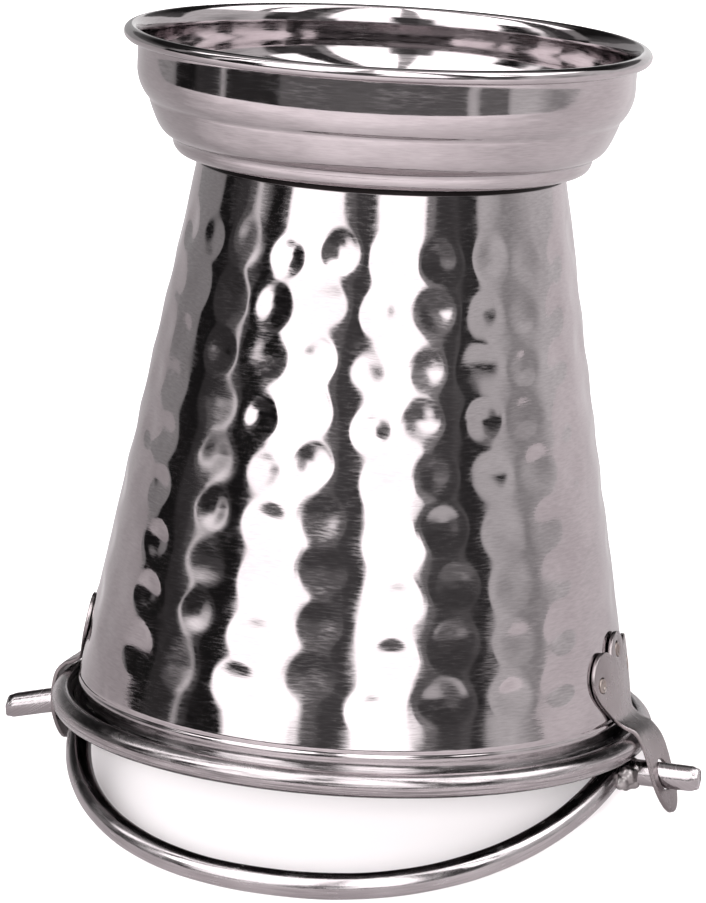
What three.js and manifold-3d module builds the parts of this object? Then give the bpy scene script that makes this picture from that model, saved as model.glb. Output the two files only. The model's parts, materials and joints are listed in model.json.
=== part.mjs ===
// A hammered steel pail with a bowl for a foot, set down on its mouth.
// It leans back on the tips of its two ears and the back of its rim, with its bail on the floor.
// Millimetres, +Z up. The origin is at floor level in the middle of the footprint, and the bail
// turns about an axis along X. The pail itself is built upright in a frame of its own, with z = 0
// at the middle of the rolled rim, and is then leaned back about X.
import * as THREE from "three";
import { mergeVertices } from "three/addons/utils/BufferGeometryUtils.js";
import Module from "manifold-3d";

const FACETS = 56; // round the pail's axis
const GAP = 0.3; // between pieces that touch
const LEAN = THREE.MathUtils.degToRad(11);

// Pail: a straight cone, closed at its narrow end, with a rolled and wired mouth.
const PAIL_SHEET = 0.9;
const MOUTH_RADIUS = 90;
const ROLL_RADIUS = 3.6;
const ROLL_MIDDLE = MOUTH_RADIUS - ROLL_RADIUS;
const CURL_START = Math.PI;
const CURL_TURN = THREE.MathUtils.degToRad(288);
const CURL_STEPS = 8; // leaves a flat step at the very bottom
const CREASE_RADIUS = 82.1;
const CREASE_HEIGHT = 7.6;
const NECK_RADIUS = 54.1;
const NECK_HEIGHT = 167;
const NECK_CORNER = 2.5;
const WIRE_RADIUS = ROLL_RADIUS - PAIL_SHEET - GAP;

// Foot: a spun bowl, open away from the pail.
const FOOT_SHEET = 1;
const FOOT_BASE = NECK_HEIGHT + GAP;
const HEEL_DROP = 1.3;
const HEEL_INSIDE = 55.9;
const LIP_RADIUS = 77.3;
const LIP_BEAD = 2.1;
const LIP_HEIGHT = 202.8;
const FOOT_WELD_CIRCLE = 34;

// Ears: stamped trefoil plates, welded to the cone and cranked out over the rim.
const EAR_SHEET = 1.2;
const EAR_LOBE = 8;
const EAR_TAB_HEIGHT = 24.7;
const EAR_SIDE_LOBE = { across: 13, height: 21 };
const EAR_HALF_WIDTH = 7.8;
const EAR_TIP = -20.3;
// Inner face of each tongue as [radius, height]: the right one splays, the left one hugs the rim.
const TONGUE_OUT = [[89, 4.2], [92.2, -0.8], [95.2, -9], [100, -22.3]];
const TONGUE_IN = [[88.6, 4.2], [91, 0.2], [91.4, -9], [88.4, -22.3]];
const TONGUE_TWIST = THREE.MathUtils.degToRad(8);
const PIN_HOLE = 5;
const WELD_RADIUS = 2.2;

// Bail: one round rod in a flattened half ring, with a pin welded to each end.
const PIVOT_HEIGHT = -9;
const ROD_RADIUS = 3.8;
const BAIL_HALF_WIDTH = 82.7;
const BAIL_LENGTH = 101;
const BAIL_SETBACK = 16.8;
const BAIL_SQUARENESS = 2.2;
const BAIL_SHIFT = -0.7; // end play taken up to the left
const BAIL_OVERRUN = 3.5;
const PIN_START = 86.1;
const PIN_END_RIGHT = 107.8;
const PIN_END_LEFT = 108.6;
const PIN_BEND_START = 92.6;
const PIN_BEND = THREE.MathUtils.degToRad(16);
const PIN_CHAMFER = 0.8;

const FLOOR = -ROLL_MIDDLE * Math.sin(LEAN) - ROLL_RADIUS;
const BAIL_REACH = BAIL_LENGTH - BAIL_SETBACK;
const BAIL_DIP = LEAN + Math.asin((PIVOT_HEIGHT * Math.cos(LEAN) - ROD_RADIUS - FLOOR) / BAIL_REACH);

const wasm = await Module();
wasm.setup();

const polishedSteel = new THREE.MeshStandardMaterial({ color: 0xc8c1c3, metalness: 1, roughness: 0.16 });
const hammeredSteel = new THREE.MeshStandardMaterial({ color: 0xc2babc, metalness: 1, roughness: 0.22 });
const stampedSteel = new THREE.MeshStandardMaterial({ color: 0xb5aaae, metalness: 1, roughness: 0.36 });
const weldSteel = new THREE.MeshStandardMaterial({ color: 0x8d8480, metalness: 1, roughness: 0.55 });

// three.js geometry to a manifold solid, and back.
function solid(geometry) {
  const bare = geometry.clone();
  bare.deleteAttribute("normal");
  bare.deleteAttribute("uv");
  const merged = mergeVertices(bare, 1e-3);
  return new wasm.Manifold(
    new wasm.Mesh({
      numProp: 3,
      vertProperties: merged.attributes.position.array,
      triVerts: new Uint32Array(merged.index.array),
    }),
  );
}

function geometryOf(made) {
  const mesh = made.getMesh();
  const geometry = new THREE.BufferGeometry();
  geometry.setAttribute("position", new THREE.BufferAttribute(new Float32Array(mesh.vertProperties), 3));
  geometry.setIndex(new THREE.BufferAttribute(new Uint32Array(mesh.triVerts), 1));
  geometry.computeVertexNormals();
  return geometry;
}

function piece(name, geometry, material) {
  const mesh = new THREE.Mesh(geometry, material);
  mesh.name = name;
  return mesh;
}

// A profile of [radius, height] points, turned about Z.
function turned(profile, facets = FACETS) {
  const points = profile.map(([radius, height]) => new THREE.Vector2(radius, height));
  return new THREE.LatheGeometry(points, facets).rotateX(Math.PI / 2);
}

// Points on an arc in the [radius, height] plane.
function arc(radius, height, size, from, turn, steps) {
  return Array.from({ length: steps + 1 }, (_, i) => {
    const angle = from + (turn * i) / steps;
    return [radius + size * Math.cos(angle), height + size * Math.sin(angle)];
  });
}

// A round bar along X.
function rod(radius, from, to) {
  const bar = new THREE.CylinderGeometry(radius, radius, to - from, 16);
  return bar.rotateZ(Math.PI / 2).translate((from + to) / 2, 0, 0);
}

// Outside radius of the cone at a height.
function coneRadius(height) {
  const rise = (height - CREASE_HEIGHT) / (NECK_HEIGHT - CREASE_HEIGHT);
  return CREASE_RADIUS + (NECK_RADIUS - CREASE_RADIUS) * rise;
}

function footWeldPlaces() {
  return [0, 1, 2, 3].map((i) => {
    const angle = ((i + 0.5) * Math.PI) / 2;
    return [FOOT_WELD_CIRCLE * Math.cos(angle), FOOT_WELD_CIRCLE * Math.sin(angle)];
  });
}

function drilled(geometry, bottom, top) {
  return footWeldPlaces().reduce((left, [x, y]) => {
    const drill = new THREE.CylinderGeometry(WELD_RADIUS + GAP, WELD_RADIUS + GAP, top - bottom, 12);
    drill.rotateX(Math.PI / 2).translate(x, y, (top + bottom) / 2);
    return left.subtract(solid(drill));
  }, solid(geometry));
}

function pailBody() {
  const curlInside = arc(ROLL_MIDDLE, 0, ROLL_RADIUS - PAIL_SHEET, CURL_START, CURL_TURN, CURL_STEPS);
  const curlOutside = arc(ROLL_MIDDLE, 0, ROLL_RADIUS, CURL_START, CURL_TURN, CURL_STEPS);
  const corner = [NECK_RADIUS - NECK_CORNER, NECK_HEIGHT - NECK_CORNER];
  const quarter = -Math.PI / 2;
  const profile = [
    [0, NECK_HEIGHT],
    ...arc(...corner, NECK_CORNER, Math.PI / 2, quarter, 3),
    [CREASE_RADIUS, CREASE_HEIGHT],
    [CREASE_RADIUS + 0.3, CREASE_HEIGHT - 1.6],
    [CREASE_RADIUS + 0.9, CREASE_HEIGHT - 4.4],
    ...curlInside,
    ...curlOutside.reverse(),
    [CREASE_RADIUS - PAIL_SHEET, CREASE_HEIGHT],
    ...arc(...corner, NECK_CORNER - PAIL_SHEET, 0, -quarter, 3),
    [0, NECK_HEIGHT - PAIL_SHEET],
  ];
  const shell = drilled(turned(profile.reverse()), NECK_HEIGHT - 3, NECK_HEIGHT + 1);
  return piece("pail_body", geometryOf(shell), hammeredSteel);
}

function rimWire() {
  const section = arc(ROLL_MIDDLE, 0, WIRE_RADIUS, 0, 2 * Math.PI, 8);
  return piece("rim_wire", turned(section), stampedSteel);
}

function footBowl() {
  const bead = [LIP_RADIUS - LIP_BEAD, LIP_HEIGHT - LIP_BEAD];
  const floor = FOOT_BASE + FOOT_SHEET;
  const outside = [
    [0, FOOT_BASE],
    [HEEL_INSIDE - 0.6, FOOT_BASE],
    [HEEL_INSIDE, FOOT_BASE - HEEL_DROP],
    [58.6, FOOT_BASE - HEEL_DROP],
    [60, FOOT_BASE - 0.6],
    [61.5, FOOT_BASE + 1.7],
    [61.9, FOOT_BASE + 3.2],
    [64.4, FOOT_BASE + 4.7],
    [66.5, FOOT_BASE + 7.7],
    [68.9, FOOT_BASE + 13.2],
    [69.4, FOOT_BASE + 14.6],
    [71.9, FOOT_BASE + 18.7],
    [72.8, FOOT_BASE + 21.7],
    [73, FOOT_BASE + 27],
    ...arc(...bead, LIP_BEAD, (-5 / 6) * Math.PI, (4 / 3) * Math.PI, 6),
  ];
  const inside = [
    [bead[0] - 1.5, LIP_HEIGHT],
    [72.1, FOOT_BASE + 28],
    [71.8, FOOT_BASE + 21.9],
    [70.9, FOOT_BASE + 19],
    [68.4, FOOT_BASE + 15],
    [67.8, FOOT_BASE + 13.4],
    [65.5, FOOT_BASE + 8.2],
    [63.6, FOOT_BASE + 5.5],
    [60.8, FOOT_BASE + 3.8],
    [59.6, FOOT_BASE + 1.6],
    [58, floor],
    [0, floor],
  ];
  const shell = drilled(turned([...outside, ...inside]), FOOT_BASE - 1, FOOT_BASE + 3);
  return piece("foot_bowl", geometryOf(shell), polishedSteel);
}

function footWelds() {
  const bottom = NECK_HEIGHT - PAIL_SHEET - 0.1;
  const top = FOOT_BASE + FOOT_SHEET - 0.1;
  return footWeldPlaces().map(([x, y], i) => {
    const nugget = new THREE.CylinderGeometry(WELD_RADIUS, WELD_RADIUS, top - bottom, 12);
    nugget.rotateX(Math.PI / 2).translate(x, y, (top + bottom) / 2);
    return piece("foot_weld_" + (i + 1), nugget, weldSteel);
  });
}

// The ear's face, seen along X: three round lobes on top, a waist, and a tongue with a round tip.
function earOutline() {
  const { across, height } = EAR_SIDE_LOBE;
  const between = new THREE.Vector2(across / 2, (height + EAR_TAB_HEIGHT) / 2);
  const apart = new THREE.Vector2(across, height - EAR_TAB_HEIGHT);
  const rise = Math.sqrt(EAR_LOBE ** 2 - apart.lengthSq() / 4);
  const notch = between.add(new THREE.Vector2(-apart.y, apart.x).setLength(rise));
  const tabEnd = Math.atan2(notch.y - EAR_TAB_HEIGHT, notch.x);
  const lobeStart = Math.atan2(notch.y - height, notch.x - across);
  const lobeEnd = THREE.MathUtils.degToRad(-35);
  const shape = new THREE.Shape();
  shape.absarc(0, EAR_TAB_HEIGHT, EAR_LOBE, tabEnd, Math.PI - tabEnd, false);
  shape.absarc(-across, height, EAR_LOBE, Math.PI - lobeStart, Math.PI - lobeEnd, false);
  shape.bezierCurveTo(-16.1, 11.5, -EAR_HALF_WIDTH, 8, -EAR_HALF_WIDTH, 2);
  shape.lineTo(-EAR_HALF_WIDTH, PIVOT_HEIGHT);
  shape.bezierCurveTo(-EAR_HALF_WIDTH, -14, -4.6, EAR_TIP, 0, EAR_TIP);
  shape.bezierCurveTo(4.6, EAR_TIP, EAR_HALF_WIDTH, -14, EAR_HALF_WIDTH, PIVOT_HEIGHT);
  shape.lineTo(EAR_HALF_WIDTH, 2);
  shape.bezierCurveTo(EAR_HALF_WIDTH, 8, 16.1, 11.5, across + EAR_LOBE * Math.cos(lobeEnd), 16.41);
  shape.absarc(across, height, EAR_LOBE, lobeEnd, lobeStart, false);
  return shape;
}

// The ear seen from its edge: its inner face comes down the cone, then goes out over the rim and
// through the given points of the tongue.
function earPath(tongue) {
  const face = GAP + 0.1;
  const onCone = [36, 22, 10].map((height) => [coneRadius(height) + face, height]);
  return new THREE.SplineCurve([...onCone, [84.8, 6.2], ...tongue].map(([x, z]) => new THREE.Vector2(x, z)));
}

// A wide strip of sheet bent along the path, hollowed to lie on the cone above the rim, and turned
// about Z below it by the twist.
function bentStrip(path, twist) {
  const samples = 22;
  const inner = path.getSpacedPoints(samples);
  const outer = inner.map((point, i) => {
    const tangent = path.getTangentAt(i / samples);
    return new THREE.Vector2(point.x - tangent.y * EAR_SHEET, point.y + tangent.x * EAR_SHEET);
  });
  const width = 2 * (EAR_SIDE_LOBE.across + EAR_LOBE) + 6;
  const geometry = new THREE.ExtrudeGeometry(new THREE.Shape([...inner, ...outer.reverse()]), {
    depth: width,
    steps: 10,
    bevelEnabled: false,
  });
  geometry.rotateX(Math.PI / 2).translate(0, width / 2, 0);
  const spots = geometry.attributes.position;
  for (let i = 0; i < spots.count; i++) {
    const across = spots.getY(i);
    const height = spots.getZ(i);
    const onCone = THREE.MathUtils.smoothstep(height, 0, 8);
    const radius = coneRadius(Math.max(height, CREASE_HEIGHT));
    const hollow = radius - Math.sqrt(radius ** 2 - across ** 2);
    spots.setX(i, spots.getX(i) - onCone * hollow + (1 - onCone) * across * Math.tan(twist));
  }
  return geometry;
}

function earWeldPlaces() {
  return [
    [0, 27.5],
    [-15.6, 19.8],
    [15.6, 19.8],
  ];
}

// A nugget reaches from the cone's face to just under the ear's outer face.
function earWeld([across, height], size, inset) {
  const angle = Math.asin(across / coneRadius(height));
  const start = coneRadius(height) + GAP + inset;
  const nugget = new THREE.CylinderGeometry(size, size, EAR_SHEET + 0.1 - 2 * inset, 12);
  nugget.rotateZ(Math.PI / 2).translate(start + EAR_SHEET / 2, 0, height);
  return nugget.rotateZ(angle);
}

// Built on the +X side, and turned about Z to its own side.
function ear(name, turn, tongue, twist) {
  const blank = new THREE.ExtrudeGeometry(earOutline(), { depth: 60, bevelEnabled: false, curveSegments: 7 });
  blank.rotateX(Math.PI / 2).rotateZ(Math.PI / 2).translate(60, 0, 0);
  const hole = rod(PIN_HOLE, 80, 110).translate(0, 0, PIVOT_HEIGHT);
  const holes = earWeldPlaces().map((place) => solid(earWeld(place, WELD_RADIUS + GAP, -1)));
  const plate = holes.reduce(
    (left, drill) => left.subtract(drill),
    solid(bentStrip(earPath(tongue), twist)).intersect(solid(blank)).subtract(solid(hole)),
  );
  const holder = new THREE.Group();
  holder.add(piece("ear_" + name, geometryOf(plate), stampedSteel));
  earWeldPlaces().forEach((place, i) => {
    holder.add(piece("ear_weld_" + name + "_" + (i + 1), earWeld(place, WELD_RADIUS, 0.05), weldSteel));
  });
  holder.rotation.z = turn;
  return holder;
}

// The bail lies in its own XY plane, with the pivot axis along X and the grip towards -Y.
class BailCurve extends THREE.Curve {
  getPoint(t) {
    const flat = 2 / BAIL_SQUARENESS;
    const start = Math.asin(((BAIL_SETBACK - BAIL_OVERRUN) / BAIL_LENGTH) ** (1 / flat));
    const angle = start + (Math.PI - 2 * start) * t;
    const across = Math.sign(Math.cos(angle)) * Math.abs(Math.cos(angle)) ** flat;
    const forward = Math.sin(angle) ** flat;
    return new THREE.Vector3(BAIL_HALF_WIDTH * across, BAIL_SETBACK - BAIL_LENGTH * forward, 0);
  }
}

function bailRound(radius, curveSegments) {
  const section = new THREE.Shape().absarc(0, 0, radius, 0, 2 * Math.PI, false);
  return new THREE.ExtrudeGeometry(section, {
    extrudePath: new BailCurve(),
    steps: 44,
    curveSegments,
    bevelEnabled: false,
  });
}

function pin(name, end) {
  const profile = [
    [0, PIN_START],
    [ROD_RADIUS, PIN_START],
    [ROD_RADIUS, PIN_BEND_START],
    [ROD_RADIUS, PIN_BEND_START + 2],
    [ROD_RADIUS, end - PIN_CHAMFER],
    [ROD_RADIUS - PIN_CHAMFER, end],
    [0, end],
  ];
  return piece("pivot_pin_" + name, turned(profile, 16).rotateY(Math.PI / 2), polishedSteel);
}

// The left pin was knocked down outside its ear.
function bentPin(name, end) {
  const made = pin(name, end);
  const spots = made.geometry.attributes.position;
  for (let i = 0; i < spots.count; i++) {
    const past = Math.max(0, spots.getX(i) - PIN_BEND_START);
    spots.setZ(i, spots.getZ(i) - past * Math.tan(PIN_BEND));
  }
  return made;
}

// A bead in the inside corner between the rod and a pin.
function bailWeld(name) {
  const bead = new THREE.SphereGeometry(3.3, 12, 9).translate(PIN_START + 0.2, -4.4, 0);
  const rodSpace = bailRound(ROD_RADIUS + GAP, 8);
  const pinSpace = rod(ROD_RADIUS + GAP, PIN_START - 8, PIN_START + 10);
  const made = solid(bead).subtract(solid(rodSpace)).subtract(solid(pinSpace));
  return piece("bail_weld_" + name, geometryOf(made), weldSteel);
}

// Both ends of the bail, each built on the +X side and turned over to the left where it belongs.
function bail() {
  const holder = new THREE.Group();
  const left = new THREE.Group();
  left.add(bentPin("left", PIN_END_LEFT), bailWeld("left"));
  left.scale.x = -1;
  holder.add(piece("bail_rod", bailRound(ROD_RADIUS, 6), polishedSteel));
  holder.add(pin("right", PIN_END_RIGHT), bailWeld("right"), left);
  holder.position.set(BAIL_SHIFT, 0, PIVOT_HEIGHT);
  holder.rotation.x = BAIL_DIP;
  return holder;
}

const pail = new THREE.Group();
pail.add(pailBody(), rimWire(), footBowl(), ...footWelds());
pail.add(ear("right", 0, TONGUE_OUT, TONGUE_TWIST));
pail.add(ear("left", Math.PI, TONGUE_IN, 0));
pail.add(bail());
pail.rotation.x = -LEAN;
pail.updateMatrixWorld(true);
const footprint = new THREE.Box3().setFromObject(pail, true);
pail.position.set(0, -(footprint.min.y + footprint.max.y) / 2, -FLOOR);

const object = new THREE.Group();
object.add(pail);
export default object;
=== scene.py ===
# The looks of an upturned hammered steel pail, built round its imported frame.
#
# Pieces are modelled in millimetres in the pail's own upright frame, where z = 0 is the middle of
# the rolled rim and +Z runs towards the foot. PAIL_PLACE leans that frame back and stands it on
# the floor. The bail's pieces are modelled in the plane of the bail, with its pivot axis along X
# and its grip towards -Y, and BAIL_PLACE puts that plane where it rests.

import json
import math
import random

import bpy
import numpy as np
from mathutils import Matrix, Vector, noise
from mathutils.geometry import delaunay_2d_cdt


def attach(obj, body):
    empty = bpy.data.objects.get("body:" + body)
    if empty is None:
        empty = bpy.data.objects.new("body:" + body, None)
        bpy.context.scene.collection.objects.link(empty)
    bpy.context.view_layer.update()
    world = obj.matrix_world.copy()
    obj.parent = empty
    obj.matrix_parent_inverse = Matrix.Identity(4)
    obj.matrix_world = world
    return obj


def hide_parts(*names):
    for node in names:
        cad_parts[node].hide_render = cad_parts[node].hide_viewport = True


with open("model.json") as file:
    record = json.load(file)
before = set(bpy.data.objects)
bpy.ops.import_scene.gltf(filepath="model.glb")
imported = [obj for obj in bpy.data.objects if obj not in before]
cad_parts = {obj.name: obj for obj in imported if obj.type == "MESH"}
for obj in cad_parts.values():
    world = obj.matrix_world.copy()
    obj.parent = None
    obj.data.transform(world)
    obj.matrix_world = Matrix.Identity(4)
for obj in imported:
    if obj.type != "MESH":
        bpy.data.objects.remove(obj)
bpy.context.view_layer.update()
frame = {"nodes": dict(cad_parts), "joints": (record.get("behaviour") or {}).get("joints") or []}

MM = 0.001
LEAN = math.radians(11)

# Pail
FACETS = 540  # round the hammered wall
PAIL_SHEET = 0.9
ROLL_RADIUS = 3.6
ROLL_MIDDLE = 86.4
CURL_TURN = math.radians(302)
CREASE_RADIUS = 82.1
CREASE_HEIGHT = 7.6
NECK_RADIUS = 54.1
NECK_HEIGHT = 167
NECK_CORNER = 2.5

# Hammer marks: wandering columns of soft round dents, a little narrower on the side of the foot
DENT_COLUMNS = 24
DENT_START = math.radians(4.2)
DENT_PITCH = 15.4
DENT_FIRST = 18
DENT_LAST = 146
DENT_DEPTH = 0.56
DENT_HALF_WIDTH = 9.6
DENT_NOSE = 8.3
DENT_TAIL = 8.8
MEAN_RADIUS = 68
DENT_NARROWING = 0.15
DENT_SOFTNESS = 2.4  # how gently a dent runs out at its edge
DENT_SNAKE = 0.07  # how far a column strays to the side, in radians
DENT_SNAKE_LENGTH = 20
DENT_SEED = 23
WALL_WAVES = [  # (depth, waves round the wall, climb, phase) of the wall's slow unevenness
    (0.10, 5, 16, 0),
    (0.06, 11, -23, 1.3),
    (0.035, 19, 8, 0.4),
    (0.018, 37, -5, 0),
]
BEATEN_FROM = (9, 22)  # heights over which the hammering starts and stops
BEATEN_TO = (150, 164)

# Foot
FOOT_FACETS = 288
FOOT_SHEET = 1
FOOT_BASE = NECK_HEIGHT + 0.3
HEEL_DROP = 1.3
HEEL_INSIDE = 55.9
LIP_RADIUS = 77.3
LIP_BEAD = 2.1
LIP_HEIGHT = 202.76
FOOT_WELD_CIRCLE = 34
FOOT_WELD_SHEETS = 2
SPUN_FROM = (4, 12)  # heights over the bowl's base where the tool marks begin
SPUN_TO = (4, 1.5)  # and depths below the lip where they end
SPUN_RADIUS = 72.6
SPUN_RING = 0.003
SPUN_WAVE = 0.012
SPUN_RIPPLE = 0.002

# Ears
EAR_SHEET = 1.2
EAR_LOBE = 8
EAR_TAB_HEIGHT = 24.7
SIDE_LOBE_ACROSS = 13
SIDE_LOBE_HEIGHT = 21
EAR_HALF_WIDTH = 7.8
EAR_TIP = -20
EAR_EDGE = 0.25  # rounding of the stamped edge
EAR_GRID = 1.1
EAR_GRID_MARGIN = 0.45
EAR_SOFT = 0.3  # share of the rounding that the middle of the edge takes up
TONGUE_OUT = [(89, 4.2), (92.2, -0.8), (95.2, -9), (100, -22.3)]
TONGUE_IN = [(88.6, 4.2), (91, 0.2), (91.4, -9), (88.4, -22.3)]
TONGUE_TWIST = math.radians(8)
PIN_HOLE = 4.5
EAR_PROUD = 0.4  # gap between the ear and the pail's wall
SPOT_RADIUS = 2.2
SPOT_PRESSED = 0.3
SPOT_PRESSED_WIDTH = 1.1
EAR_SPOTS = [(0, 27.5), (-15.6, 19.8), (15.6, 19.8)]

# Bail
PIVOT_HEIGHT = -9
ROD_RADIUS = 3.8
BAIL_HALF_WIDTH = 82.7
BAIL_LENGTH = 101
BAIL_SETBACK = 16.8
BAIL_SQUARENESS = 2.2
BAIL_SHIFT = -0.7
BAIL_OVERRUN = 3.5
BAIL_SIDES = 32
BAIL_STEPS = 260
PIN_START = 86.1
PIN_END_RIGHT = 107.8
PIN_END_LEFT = 108.6
PIN_BEND_START = 92.6
PIN_BEND = math.radians(16)
PIN_BEND_EASE = 1.2
PIN_CHAMFER = 0.8
PIN_SAWN = 0.12  # slant of the sawn end
BEAD_VOXEL = 0.28

# Camera, in metres, degrees and millimetres
CAMERA_AT = (0.37539, -1.31553, 0.65837)
CAMERA_AZIMUTH = 16.06
CAMERA_ELEVATION = 22.27
CAMERA_LENS = 198.9
CAMERA_SENSOR = 36

floor_below_rim = -ROLL_MIDDLE * math.sin(LEAN) - ROLL_RADIUS
rod_above_floor = PIVOT_HEIGHT * math.cos(LEAN) - ROD_RADIUS - floor_below_rim
BAIL_DIP = LEAN + math.asin(rod_above_floor / (BAIL_LENGTH - BAIL_SETBACK))

hinge = Vector(frame["joints"][0]["pos_m"])
PAIL_PLACE = (
    Matrix.Translation(hinge)
    @ Matrix.Rotation(-LEAN, 4, "X")
    @ Matrix.Translation((0, 0, -PIVOT_HEIGHT * MM))
)
BAIL_PLACE = (
    Matrix.Translation(hinge)
    @ Matrix.Rotation(BAIL_DIP - LEAN, 4, "X")
    @ Matrix.Translation((BAIL_SHIFT * MM, 0, 0))
)


# ---------------------------------------------------------------- meshes

def mesh_of(name, spots, faces, sharp=None):
    """A smooth-shaded mesh from millimetre points, its faces turned outwards."""
    made = bpy.data.meshes.new(name)
    made.from_pydata((np.asarray(spots, float) * MM).tolist(), [], faces)
    made.validate()
    made.calc_loop_triangles()
    corners = np.zeros(len(made.loop_triangles) * 3, np.int32)
    made.loop_triangles.foreach_get("vertices", corners)
    points = np.zeros(len(made.vertices) * 3)
    made.vertices.foreach_get("co", points)
    a, b, c = points.reshape(-1, 3)[corners.reshape(-1, 3)].transpose(1, 0, 2)
    if np.einsum("ij,ij->", a, np.cross(b, c)) < 0:
        made.flip_normals()
    made.shade_smooth()
    if sharp:
        made.set_sharp_from_angle(angle=math.radians(sharp))
    return made


def piece(mesh, body, slot, material, place, *replaced):
    """Puts a mesh in the scene as a visible piece that stands for CAD nodes."""
    mesh.transform(place)
    made = bpy.data.objects.new(mesh.name, mesh)
    bpy.context.scene.collection.objects.link(made)
    mesh.materials.append(material)
    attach(made, body)
    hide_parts(*replaced)
    return made


def arc(radius, height, size, start, turn, steps):
    """Points on an arc in the (radius, height) plane."""
    angles = start + turn * np.linspace(0, 1, steps + 1)
    return [(radius + size * math.cos(a), height + size * math.sin(a)) for a in angles]


def line(start, end, step):
    """Points along a straight line, both ends included."""
    count = max(1, math.ceil(math.dist(start, end) / step))
    return [tuple(p) for p in np.linspace(start, end, count + 1)]


def softened(points, rounds):
    """Cuts the corners of an open line, and keeps its two ends."""
    points = np.asarray(points, float)
    for _ in range(rounds):
        a, b = points[:-1], points[1:]
        cut = np.stack([0.75 * a + 0.25 * b, 0.25 * a + 0.75 * b], 1).reshape(-1, 2)
        points = np.vstack([points[:1], cut[1:-1], points[-1:]])
    return [tuple(p) for p in points]


def turned(name, profile, facets, sway=None, sharp=None):
    """A closed solid of a profile turned about Z. The profile's two ends lie on the axis."""
    ring = np.asarray(profile[1:-1], float)
    angles = np.linspace(0, 2 * math.pi, facets, endpoint=False)
    radius = np.repeat(ring[:, :1], facets, 1)
    height = np.repeat(ring[:, 1:], facets, 1)
    if sway:
        radius, height = sway(angles, radius, height)
    grid = np.stack([radius * np.cos(angles), radius * np.sin(angles), height], -1)
    ends = [(0, 0, profile[0][1]), (0, 0, profile[-1][1])]
    spots = np.vstack([grid.reshape(-1, 3), ends])
    here = np.arange(facets)
    ahead = (here + 1) % facets
    faces = []
    for row in range(len(ring) - 1):
        low, high = row * facets, (row + 1) * facets
        faces += np.stack([low + here, low + ahead, high + ahead, high + here], 1).tolist()
    first, last, top = len(spots) - 2, len(spots) - 1, (len(ring) - 1) * facets
    faces += [(first, int(b), int(a)) for a, b in zip(here, ahead)]
    faces += [(last, int(top + a), int(top + b)) for a, b in zip(here, ahead)]
    return mesh_of(name, spots, faces, sharp)


def smoothstep(value, low, high):
    t = np.clip((value - low) / (high - low), 0, 1)
    return t * t * (3 - 2 * t)


# ---------------------------------------------------------------- pail

def cone_radius(height):
    rise = (height - CREASE_HEIGHT) / (NECK_HEIGHT - CREASE_HEIGHT)
    return CREASE_RADIUS + (NECK_RADIUS - CREASE_RADIUS) * rise


def hammer_marks():
    """Each mark as (angle, height, depth, size)."""
    draw = random.Random(DENT_SEED)
    marks = []
    for column in range(DENT_COLUMNS):
        phase = math.pi + draw.uniform(-0.4, 0.4)
        height = DENT_LAST + draw.uniform(-2, 2)
        while height > DENT_FIRST:
            swing = phase + (DENT_LAST - height) / DENT_SNAKE_LENGTH
            turn = math.sin(swing) - math.sin(phase)
            angle = DENT_START + 2 * math.pi * column / DENT_COLUMNS
            angle += DENT_SNAKE * turn + draw.uniform(-0.014, 0.014)
            depth = DENT_DEPTH * draw.uniform(0.62, 1.2)
            marks.append((angle, height, depth, draw.uniform(0.84, 1.1)))
            height -= DENT_PITCH * draw.uniform(0.9, 1.1)
    return marks


def hammered(angles, radius, height):
    """Beats the marks into the wall and leaves it slightly out of round."""
    depth = np.zeros_like(radius)
    level = height[:, 0]
    for angle, middle, deep, size in hammer_marks():
        rows = np.abs(level - middle) < DENT_TAIL * size
        away = level[rows, None] - middle
        along = away / (size * np.where(away > 0, DENT_TAIL, DENT_NOSE))
        side = (angles - angle + math.pi) % (2 * math.pi) - math.pi
        narrowing = 1 - DENT_NARROWING * np.clip(along, 0, 1)
        across = side[None, :] * MEAN_RADIUS / (size * DENT_HALF_WIDTH * narrowing)
        near = np.clip(1 - across**2 - along**2, 0, None)
        depth[rows] += deep * near**DENT_SOFTNESS
    for deep, count, climb, phase in WALL_WAVES:
        depth += deep * np.sin(count * angles + height / climb + phase)
    on_wall = smoothstep(height, *BEATEN_FROM) * (1 - smoothstep(height, *BEATEN_TO))
    on_wall = on_wall * (radius > cone_radius(height) - 2 * PAIL_SHEET)
    return radius - on_wall * depth, height


def pail_wall():
    corner = (NECK_RADIUS - NECK_CORNER, NECK_HEIGHT - NECK_CORNER)
    quarter = math.pi / 2
    outside = [
        *line((0, NECK_HEIGHT), (corner[0], NECK_HEIGHT), 8),
        *arc(*corner, NECK_CORNER, quarter, -quarter, 10)[1:],
        *line((NECK_RADIUS, corner[1]), (CREASE_RADIUS, CREASE_HEIGHT + 0.6), 1.05)[1:],
    ]
    flare = softened(
        [
            (CREASE_RADIUS - 0.25, CREASE_HEIGHT + 0.1),
            (CREASE_RADIUS + 0.28, CREASE_HEIGHT - 0.7),
            (CREASE_RADIUS + 0.1, CREASE_HEIGHT - 2.6),
            (CREASE_RADIUS + 0.35, CREASE_HEIGHT - 4.8),
            (ROLL_MIDDLE - ROLL_RADIUS + PAIL_SHEET, 0),
        ],
        2,
    )
    curl_inside = arc(ROLL_MIDDLE, 0, ROLL_RADIUS - PAIL_SHEET, math.pi, CURL_TURN, 40)
    curl_outside = arc(ROLL_MIDDLE, 0, ROLL_RADIUS, math.pi, CURL_TURN, 48)
    inside = [
        *line(
            (CREASE_RADIUS - PAIL_SHEET, CREASE_HEIGHT),
            (NECK_RADIUS - PAIL_SHEET, corner[1]),
            1.3,
        ),
        *arc(*corner, NECK_CORNER - PAIL_SHEET, 0, quarter, 6)[1:],
        *line((corner[0], NECK_HEIGHT - PAIL_SHEET), (0, NECK_HEIGHT - PAIL_SHEET), 8)[1:],
    ]
    return [*outside, *flare, *curl_inside[1:], *curl_outside[::-1], *inside]


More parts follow.
